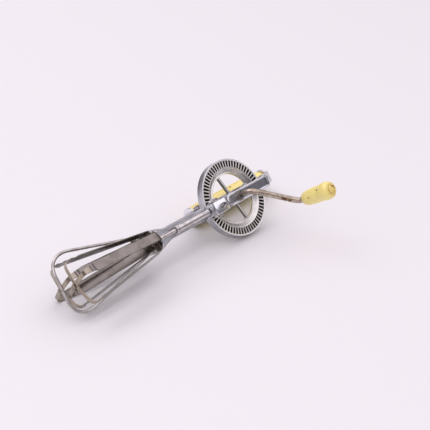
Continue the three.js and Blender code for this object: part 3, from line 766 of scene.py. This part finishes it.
def spoke(degrees):
    """A flat spoke with a rib on both faces, a little wider where it meets hub and rim."""
    mesh = bmesh.new()
    start = hub_radius - 0.8
    end = window + 1.0
    for thick, wide in (spoke_plate, spoke_rib):
        size = Matrix.Diagonal((end - start, thick, wide, 1))
        middle = Matrix.Translation(((start + end) / 2, 0, 0))
        bmesh.ops.create_cube(mesh, size=1, matrix=middle @ size)
    soften(mesh, 0.22, 60)
    for x in (start + 2.2, (start + end) / 2, end - 2.6):
        bmesh.ops.bisect_plane(mesh, geom=mesh.verts[:] + mesh.edges[:] + mesh.faces[:],
                               plane_co=(x, 0, 0), plane_no=(1, 0, 0))
    for spot in mesh.verts:
        near_end = max(0, 1 - min(spot.co.x - start, end - spot.co.x) / 2.4)
        spot.co.z *= 0.88 + 0.45 * near_end
    tilt(mesh, radians(degrees), "Y")
    return mesh


def gather(mesh, *others):
    """Puts the other meshes into the first."""
    for other in others:
        data = bpy.data.meshes.new("passing")
        other.to_mesh(data)
        other.free()
        mesh.from_mesh(data)
        bpy.data.meshes.remove(data)
    return mesh


gather(wheel, hub, *[spoke(degrees) for degrees in spoke_angles])
put("toothed_wheel", wheel, "drive", "wheel_steel", cast, "drive_wheel")

# ---- Pinions, shafts and caps ----
# Each beater hangs on a 4 mm shaft that runs up its sleeve to a sixteen-tooth pinion on the
# wheel's ring. A turned cap is beaten on to the shaft's end above the pinion.
shaft_radius = 2.0
shaft_low = -125.49
shaft_high = -31.66
cap_low = -32.76


def softened(node, offset=0.14, angle=30):
    """A copy of a CAD node in the tool's axes, its triangles joined and its edges rounded."""
    mesh = bmesh.new()
    mesh.from_mesh(frame["nodes"][node].data)
    bmesh.ops.transform(mesh, matrix=lie.inverted(), verts=mesh.verts)
    bmesh.ops.remove_doubles(mesh, verts=mesh.verts, dist=0.002)
    bmesh.ops.dissolve_limit(mesh, angle_limit=radians(2), verts=mesh.verts, edges=mesh.edges)
    soften(mesh, offset, angle, 1)
    return mesh


for name, side in (("front", 1), ("rear", -1)):
    body = f"{name}_beater"
    put(f"{name}_gear", softened(f"{name}_pinion"), body, "bright_steel", bright, f"{name}_pinion")
    stem = turned([
        (shaft_low, 0), (shaft_low, shaft_radius), (-118, shaft_radius), (-100, shaft_radius),
        (-60, shaft_radius), (shaft_high, shaft_radius), (shaft_high, 0),
    ], 40)
    soften(stem, 0.3, 50)
    hang(f"{name}_stem", stem, side, body, "blade_steel", bright, f"{name}_shaft")
    cap = turned([
        (cap_low, 2.3), (cap_low, 3.4), (cap_low + 1.4, 3.4), (cap_low + 2.0, 2.9),
        (cap_low + 2.4, 2.0), (cap_low + 2.4, 0), (shaft_high + 0.3, 0), (shaft_high + 0.3, 2.3),
        (cap_low, 2.3),
    ], 40)
    soften(cap, 0.15, 40)
    hang(f"{name}_cap", cap, side, body, "bright_steel", bright, f"{name}_shaft_cap")

# ---- Axle fittings ----
# Steel spacers keep the wheel midway between the straps, and a collar beaten on to the axle's
# end holds it behind the rear strap.
for name, node, low, high, outer in (
    ("spacer_front", "axle_spacer_front", 2.7, 15.4, 5.3),
    ("spacer_rear", "axle_spacer_rear", -8.6, -2.7, 5.3),
    ("axle_collar", "axle_head", -11.9, -10.5, 6.3),
):
    ring = turned([(low, axle_hole), (low, outer), (high, outer), (high, axle_hole)], 48, "y")
    soften(ring, 0.3, 50)
    put(name, ring, "drive", "bright_steel", bright, node)

# ---- Crank ----
# A 6 mm round rod bent cold by hand: straight through the wheel as its axle, out in a slanting
# arm, and straight again through the knob. Bare steel, browned by age, with rust on the arm.
rod_radius = 3.0
axle_end = -11.4
arm_start = Vector((0, 31, 0))
arm_end = Vector((40.214, 46, 32.333))
rod_end = 94.2
bend_length = 9.0
rust_spots = ((26.0, 43.4, 24.2), (24.0, 42.8, 22.2), (29.6, 44.2, 27.3), (11.0, 36.0, 7.0))
rust_size = 2.3


def bezier(points, steps):
    """Points along a smooth curve drawn by its control points, without its first one."""
    out = []
    for step in range(1, steps + 1):
        row = list(points)
        while len(row) > 1:
            row = [a.lerp(b, step / steps) for a, b in zip(row, row[1:])]
        out.append(row[0])
    return out


def swept(path, radius, sides=24):
    """A round rod of this radius along a path, its ends slightly rounded."""
    mesh = bmesh.new()
    lead = (path[1] - path[0]).normalized()
    start = Matrix.Translation(path[0]) @ lead.to_track_quat("Z", "Y").to_matrix().to_4x4()
    bmesh.ops.create_circle(mesh, cap_ends=True, segments=sides, radius=radius, matrix=start)
    ring = mesh.edges[:]
    for number, (before, at) in enumerate(zip(path, path[1:]), 1):
        new_lead = path[min(number + 1, len(path) - 1)] - before
        turn = lead.rotation_difference(new_lead.normalized()).to_matrix().to_4x4()
        lead = new_lead.normalized()
        grown = bmesh.ops.extrude_edge_only(mesh, edges=ring)["geom"]
        spots = [item for item in grown if isinstance(item, bmesh.types.BMVert)]
        move = Matrix.Translation(at) @ turn @ Matrix.Translation(-before)
        bmesh.ops.transform(mesh, matrix=move, verts=spots)
        fresh = set(spots)
        ring = [item for item in grown
                if isinstance(item, bmesh.types.BMEdge) and fresh.issuperset(item.verts)]
    bmesh.ops.holes_fill(mesh, edges=ring, sides=0)
    bmesh.ops.recalc_face_normals(mesh, faces=mesh.faces)
    soften(mesh, radius * 0.22, 60)
    return mesh


arm = (arm_end - arm_start).normalized()
axle_bend = Vector((0, arm_start.y - bend_length, 0))
knob_bend = Vector((arm_end.x, arm_end.y + bend_length * 0.55, arm_end.z))
crank_path = [Vector((0, axle_end + (axle_bend.y - axle_end) * n / 12, 0)) for n in range(13)]
crank_path += bezier([axle_bend, arm_start, arm_start + arm * bend_length], 14)
arm_top = arm_end - arm * bend_length
crank_path += bezier([crank_path[-1], arm_top], 16)
crank_path += bezier([arm_top, arm_end, knob_bend], 14)
crank_path += bezier([knob_bend, Vector((arm_end.x, rod_end, arm_end.z))], 16)


def near(finish, place, spots, size, ragged):
    """1 close to any of the spots, with ragged edges."""
    nearest = None
    for spot in spots:
        ends = {0: place, 1: spot}
        far = finish.node("ShaderNodeVectorMath", {"operation": "DISTANCE"}, ends, out="Value")
        nearest = far if nearest is None else far.sum("MINIMUM", nearest, far)
    return 1 - (nearest + ragged).between(size * 0.55, size)


browned_light = (0.56, 0.49, 0.40, 1)
browned_dark = (0.33, 0.27, 0.21, 1)
browned_rusty = (0.13, 0.055, 0.02, 1)
tip_paint = (0.86, 0.72, 0.24, 1)
browned = Finish("browned_rod", Metallic=1.0)
browned_place = tool_place(browned)
browned_cloud = browned.noise(browned_place, 5, detail=3)
browned_fine = browned.noise(browned_place, 0.45, detail=3)
browned_ragged = (browned_cloud + browned_fine - 1) * 3.2
browned_rust = near(browned, browned_place, rust_spots, rust_size, browned_ragged)
browned_specks = browned.noise(browned_place, 1.1, detail=3).between(0.62, 0.7)
browned_mask = browned_rust + browned_specks * 0.6
browned_tip = axis_of(browned, browned_place, 1).between(93.4, 93.7)
browned_colour = browned.blend(browned_cloud.between(0.3, 0.7), browned_light, browned_dark)
browned_colour = browned.blend(browned_mask, browned_colour, browned_rusty)
browned.shades(
    Base_Color=browned.blend(browned_tip, browned_colour, tip_paint),
    Metallic=(1 - browned_rust * 0.9) * (1 - browned_tip),
    Roughness=browned_cloud * 0.2 + browned_fine * 0.12 + browned_mask * 0.3 + 0.16,
    Normal=browned.relief(browned_fine + browned_cloud * 2 + browned_mask, 0.00006),
)
put("bent_crank", swept(crank_path, rod_radius, 32), "drive", "rod_steel", browned, "crank_rod")

# ---- Knob ----
# Turned wood under glossy butter-yellow paint, loose on the rod's end between a washer and the
# rod's beaten end, which the paint also covers. The paint is chipped here and there and soiled
# round its edges, and a spot of rust shows through it on the beaten end.
knob_low = 55.0
knob_long = 38.0
knob_turned = (
    (0, 3.3), (0, 5.3), (0.35, 6.0), (1.1, 6.75), (2.4, 7.3), (5.7, 7.85), (10, 8.25), (16, 8.5),
    (19.5, 8.52), (21.3, 8.42), (22.3, 8.22), (23.2, 8.2), (24.2, 8.45), (26, 8.8), (29.6, 9.15),
    (32.4, 9.12), (34.4, 8.85), (36.2, 8.2), (37.3, 7.2), (37.85, 6.1), (38, 5.2), (37.8, 4.6),
    (37.8, 3.3),
)
knob_chips = ((33.3, 81.0, 27.1), (31.6, 67.4, 31.4), (45.0, 88.0, 40.6))
washer_low = 53.8
washer_high = 54.7
paint_light = (0.98, 0.845, 0.30, 1)
paint_deep = (0.95, 0.785, 0.25, 1)
paint_stained = (0.62, 0.45, 0.12, 1)
paint_soiled = (0.5, 0.33, 0.1, 1)
wood_bare = (0.16, 0.07, 0.025, 1)
painted = Finish("butter_paint")


def paint_layers(finish, chips, chip_size, turned_edge):
    """Glossy yellow paint with stains, specks, soiled edges and chips down to dark wood."""
    place = tool_place(finish)
    cloud = finish.noise(place, 14)
    fine = finish.noise(place, 0.8, detail=3)
    orange_peel = finish.noise(place, 1.6, detail=1)
    chipped = near(finish, place, chips, chip_size, (fine - 0.5) * 2.2)
    specks = finish.noise(place, 1.3).between(0.73, 0.77)
    stain = finish.noise(place, 5, detail=4).between(0.55, 0.8)
    colour = finish.blend(cloud.between(0.35, 0.65), paint_light, paint_deep)
    colour = finish.blend(stain * 0.35, colour, paint_stained)
    colour = finish.blend(turned_edge(finish, place) * 0.28, colour, paint_soiled)
    colour = finish.blend(chipped + specks * 0.7, colour, wood_bare)
    finish.shades(
        Base_Color=colour,
        Roughness=cloud * 0.12 + stain * 0.15 + chipped * 0.4 + 0.24,
        Coat_Weight=0.35 - chipped * 0.35,
        Coat_Roughness=0.12,
        Normal=finish.relief(orange_peel * 0.35 - chipped * 1.2 - specks, 0.00012),
    )


def knob_edge(finish, place):
    y = axis_of(finish, place, 1)
    knob_high = knob_low + knob_long
    return (1 - y.between(knob_low - 0.2, knob_low + 1.2)) + y.between(knob_high - 1.2, knob_high)


paint_layers(painted, knob_chips, 1.25, knob_edge)
knob = shift(turned(knob_turned, 96, "y"), arm_end.x, knob_low, arm_end.z)
put("turned_knob", knob, "knob", "yellow_paint", painted, "knob")

washer = turned([
    (washer_low, axle_hole), (washer_low, 5.2), (washer_high, 5.2), (washer_high, axle_hole),
], 48, "y")
soften(washer, 0.25, 50)
put("washer", shift(washer, arm_end.x, 0, arm_end.z), "drive", "rod_steel", browned, "knob_washer")
beaten = turned([
    (93.3, axle_hole), (93.3, 4.1), (93.9, 4.05), (94.5, 3.8), (94.8, 3.6), (94.8, axle_hole),
], 48, "y")
soften(beaten, 0.12, 40)
end_soiled = (0.72, 0.50, 0.14, 1)
end_rusty = (0.50, 0.13, 0.045, 1)
end_rust_spot = arm_end + Vector((2.2, 48.4, -2.9))
end_paint = Finish("painted_end")
end_place = tool_place(end_paint)
end_cloud = end_paint.noise(end_place, 1.5, detail=4)
end_rust = near(end_paint, end_place, (end_rust_spot,), 2.4, end_cloud - 0.5)
end_colour = end_paint.blend(end_cloud.between(0.4, 0.75), tip_paint, end_soiled)
end_paint.shades(
    Base_Color=end_paint.blend(end_rust, end_colour, end_rusty),
    Roughness=end_cloud * 0.2 + end_rust * 0.3 + 0.25,
    Normal=end_paint.relief(end_cloud - end_rust, 0.0001),
)
shift(beaten, arm_end.x, 0, arm_end.z)
put("beaten_end", beaten, "drive", "rod_steel", end_paint, "knob_rivet")

# ---- Beaters ----
# Two loops of flat strip cross at right angles in each beater, riveted where they cross at the
# bottom and brazed to a collar on the shaft at the top. Satin strip, browned at the top corners.
blade_top = -120.89
blade_bottom = -218.09
blade_reach = 23.24
blade_neck = 11.156
blade_wide = 4.383
blade_narrow = 2.19
blade_thick = 0.9
blade_step = 1.35
taper_from = 3.4
taper_long = 15.6
ripple_from = 10.6
ripple_pitch = 3.3
ripple_height = 0.34
ripple_spread = 2.5
swell_from = 5.4
swell_height = 0.6
swell_spread = 2.3
cage_turn = -20.0
neck_low = -125.09
neck_high = -119.49
satin_light = (0.28, 0.255, 0.235, 1)
satin_dark = (0.21, 0.185, 0.165, 1)
satin_tanned = (0.46, 0.40, 0.31, 1)
satin_browned = (0.07, 0.052, 0.036, 1)
satin_specked = (0.09, 0.06, 0.035, 1)
satin = Finish("satin_strip", Metallic=1.0)
satin_place = tool_place(satin)
satin_x = axis_of(satin, satin_place, 0)
satin_cloud = satin.noise(satin_place, 9, detail=3)
satin_lines = satin.noise(satin_place, 0.4, detail=3, stretch=(0.04, 1, 1))
satin_fine = satin.noise(satin_place, 0.7, detail=3)
satin_top = satin_x.between(blade_top - 5, blade_top - 0.5)
satin_foot = 1 - satin_x.between(blade_bottom - 1, blade_bottom + 7)
satin_grime = (satin_top * 0.9 + satin_foot * 0.25) * satin_cloud.between(0.25, 0.55)
satin_specks = satin_fine.between(0.68, 0.75)
satin_tan = 1 - satin_x.between(blade_bottom + 4, blade_bottom + 13)
satin_colour = satin.blend(satin_cloud.between(0.35, 0.7), satin_light, satin_dark)
satin_colour = satin.blend(satin_tan * 0.8, satin_colour, satin_tanned)
satin_colour = satin.blend(satin_grime, satin_colour, satin_browned)
satin.shades(
    Base_Color=satin.blend(satin_specks * 0.75, satin_colour, satin_specked),
    Roughness=satin_lines * 0.14 + satin_cloud * 0.1 + satin_grime * 0.25 + 0.12,
    Normal=satin.relief(satin_lines * 0.2 + satin_cloud * 2, 0.00003),
)


def blade_half(x):
    """Half a blade's width: it narrows to pass under the rivet."""
    share = min(max((x - blade_bottom - taper_from) / taper_long, 0), 1)
    return blade_narrow + (blade_wide - blade_narrow) * share


def blade_ripple(x, travel, z):
    """A shallow swell and two ripples pressed across each blade above its bend."""
    off = x - blade_bottom - ripple_from
    swell = swell_height * exp(-((off - swell_from) / swell_spread) ** 2)
    ripple = ripple_height * cos(off * tau / ripple_pitch)
    return swell + ripple * exp(-(off / ripple_spread) ** 2)


def blade_loop(inset):
    top = blade_top - inset
    bottom = blade_bottom + inset
    half = [(top, blade_neck, 1.6), (bottom + 2.8, blade_reach + 0.1, 8)]
    other = [(x, -y, r) for x, y, r in reversed(half)]
    loop = [(top, 4.2), *half, (bottom, 0, 6), *other, (top, -4.2)]
    mesh = bent_strip(bent_line(loop, 0.8), blade_half, 10, blade_ripple, blade_thick)
    soften(mesh, 0.2, 60)
    return mesh


for name, side in (("front", 1), ("rear", -1)):
    body = f"{name}_beater"
    for blade_name, inset, quarter in (("outer", 0, 0), ("inner", blade_step, 90)):
        loop = blade_loop(inset)
        loop = drilled(loop, drill_rod(blade_bottom - 4, blade_bottom + 5, 1.6))
        tilt(loop, radians(cage_turn + quarter), "X")
        hang(f"{name}_loop_{blade_name}", loop, side, body, "blade_steel", satin,
             f"{name}_blade_{blade_name}")
    neck = turned([
        (neck_low, 2.3), (neck_low, 3.6), (-124.7, 4.0), (-122.4, 4.0), (-122.1, 3.75),
        (-121.8, 4.0), (-119.9, 4.0), (neck_high, 3.6), (neck_high, 2.3),
    ], 48)
    soften(neck, 0.12, 40)
    hang(f"{name}_neck", neck, side, body, "blade_steel", satin, f"{name}_beater_collar")
    pin = rivet(blade_bottom - 0.75, blade_bottom + 2.3, head=2.1, rise=0.95)
    hang(f"{name}_foot_rivet", pin, side, body, "blade_steel", satin, f"{name}_blade_rivet")

# ---- Bow ----
# A 3 mm tinned wire bent round both beaters to keep them off the bowl. It leans a little to
# one side. Its ends pass through the yoke and are beaten over.
bow_radius = 1.45
bow_lean = tan(radians(1))
bow_foot = -223.05
bow_corner = blade_reach + 9.6
bow_rounded = 0.23
bow_flat = 0.36
bow_fullness = 0.6
wire_light = (0.62, 0.595, 0.575, 1)
wire_dark = (0.40, 0.36, 0.335, 1)
wire_specked = (0.09, 0.06, 0.04, 1)


def bow_at(x, z):
    return Vector((x, 0, z + (x - yoke_high) * bow_lean))


def bow_side(sign):
    """One leg and its corner, from the yoke to beside the middle of the foot."""
    end = Vector((yoke_high + 2.2, 0, sign * bow_spread))
    top = bow_at(yoke_high - 4, sign * bow_spread)
    corner = bow_at(bow_foot, sign * bow_corner)
    above = corner.lerp(top, bow_rounded)
    beside = bow_at(bow_foot, sign * bow_corner * bow_flat)
    pulls = [spot.lerp(corner, bow_fullness) for spot in (above, beside)]
    bend = bezier([above, *pulls, beside], 40)
    return [end] + bezier([end, top], 5) + bezier([top, above], 30) + bend


bow_path = bow_side(1)
far_side = bow_side(-1)
bow_path += bezier([bow_path[-1], far_side[-1]], 10)[:-1] + far_side[::-1]

wire = Finish("tinned_wire", Metallic=1.0)
wire_place = tool_place(wire)
wire_cloud = wire.noise(wire_place, 7, detail=3)
wire_fine = wire.noise(wire_place, 0.6, detail=3)
wire_specks = wire_fine.between(0.67, 0.74)
wire_colour = wire.blend(wire_cloud.between(0.35, 0.7), wire_light, wire_dark)
wire.shades(
    Base_Color=wire.blend(wire_specks * 0.8, wire_colour, wire_specked),
    Roughness=wire_cloud * 0.18 + wire_fine * 0.12 + 0.13,
    Normal=wire.relief(wire_fine * 0.25 + wire_cloud * 2, 0.00003),
)
put("bent_bow", swept(bow_path, bow_radius, 24), "frame", "blade_steel", wire, "wire_bow")

# ---- Lower arm and the eyes ----
# A strip of the straps' stock, riveted to the rear hump and bent square, ends in the round eye
# that closes the grip's lower end. The front strap's own round eye closes the upper end.
eye_radius = 10.4
eye_thick = 1.8
grip_low = -26.5
grip_high = 86.5
rod_hole = 2.5


def eye_disc(low):
    """A round eye, dished a little towards its rim, with a hole for the grip's rod."""
    mesh = turned([
        (low, rod_hole), (low, 8.6), (low + 0.15, 9.6), (low + 0.3, eye_radius),
        (low + eye_thick - 0.3, eye_radius), (low + eye_thick - 0.1, 9.6), (low + eye_thick, 8.6),
        (low + eye_thick, 6.2), (low + eye_thick - 0.2, 5.6), (low + eye_thick - 0.2, rod_hole),
    ], 72)
    soften(mesh, 0.2, 40)
    return mesh


eye_low = grip_low - 0.3 - eye_thick
arm_middle = -(25.41 + 0.3 + strip_thick / 2)
arm_line = [
    (hump_low + 1.2, arm_middle),
    (eye_low + eye_thick / 2, arm_middle, 3.2),
    (eye_low + eye_thick / 2, grip_back + 2.6),
]

lower = bent_strip(bent_line(arm_line, 0.5), strap_half, 16)
soften(lower, 0.28, 60)
gather(lower, shift(eye_disc(eye_low), y=grip_back))
put("lower_arm_bent", lower, "frame", "frame_steel", plated, "lower_arm")
put("upper_eye", shift(eye_disc(grip_high + 0.3), y=grip_back), "frame", "frame_steel", plated)

# ---- Grip, its rod and heads ----
# A turned wooden grip in the same paint as the knob, held between the eyes on a 4.4 mm rod
# whose ends carry low domed heads. The paint is rubbed round the ends.
grip_paint = Finish("grip_paint")
grip_chips = ((34.4, -34.6, -9.1), (80.0, -31.0, -5.5), (-20.0, -32.5, -7.0))


def grip_edge(finish, place):
    x = axis_of(finish, place, 0)
    low_end = 1 - x.between(grip_low + 0.5, grip_low + 3.5)
    return low_end + x.between(grip_high - 3.5, grip_high - 0.5)


paint_layers(grip_paint, grip_chips, 1.6, grip_edge)
grip = turned([
    (0, 2.5), (0, 7.0), (0.4, 8.0), (1.2, 8.8), (2.6, 9.4), (5, 9.9), (9, 10.25), (16, 10.55),
    (28, 10.83), (42, 10.96), (56.5, 11.0), (71, 10.96), (85, 10.83), (97, 10.55), (104, 10.25),
    (108, 9.9), (110.4, 9.4), (111.8, 8.8), (112.6, 8.0), (113, 7.0), (113, 2.5),
], 96)
put("turned_grip", shift(grip, grip_low, grip_back), "frame", "yellow_paint", grip_paint, "grip")

eye_high = grip_high + 0.3 + eye_thick
rod_low = eye_low - 1.0
rod_high = eye_high + 1.0
rod_wide = 2.2
grip_rod = turned([
    (rod_low, 0), (rod_low, rod_wide), (0, rod_wide), (60, rod_wide), (rod_high, rod_wide),
    (rod_high, 0),
], 40)
soften(grip_rod, 0.3, 50)
put("long_rod", shift(grip_rod, y=grip_back), "frame", "bright_steel", bright, "grip_rod")
dome = [
    (0, 2.5), (0, 5), (0.6, 4.92), (1.1, 4.6), (1.7, 3.9), (2.15, 3.0), (2.4, 2.3), (2.4, 0),
    (1.1, 0), (1.1, 2.5), (0, 2.5),
]
for name, face, way in (("lower", eye_low - 0.3, -1), ("upper", eye_high + 0.3, 1)):
    head = turned([(face + way * t, r) for t, r in dome], 48)
    soften(head, 0.12, 40)
    put(f"rod_head_{name}", shift(head, y=grip_back), "frame", "frame_steel", plated,
        f"grip_head_{name}")
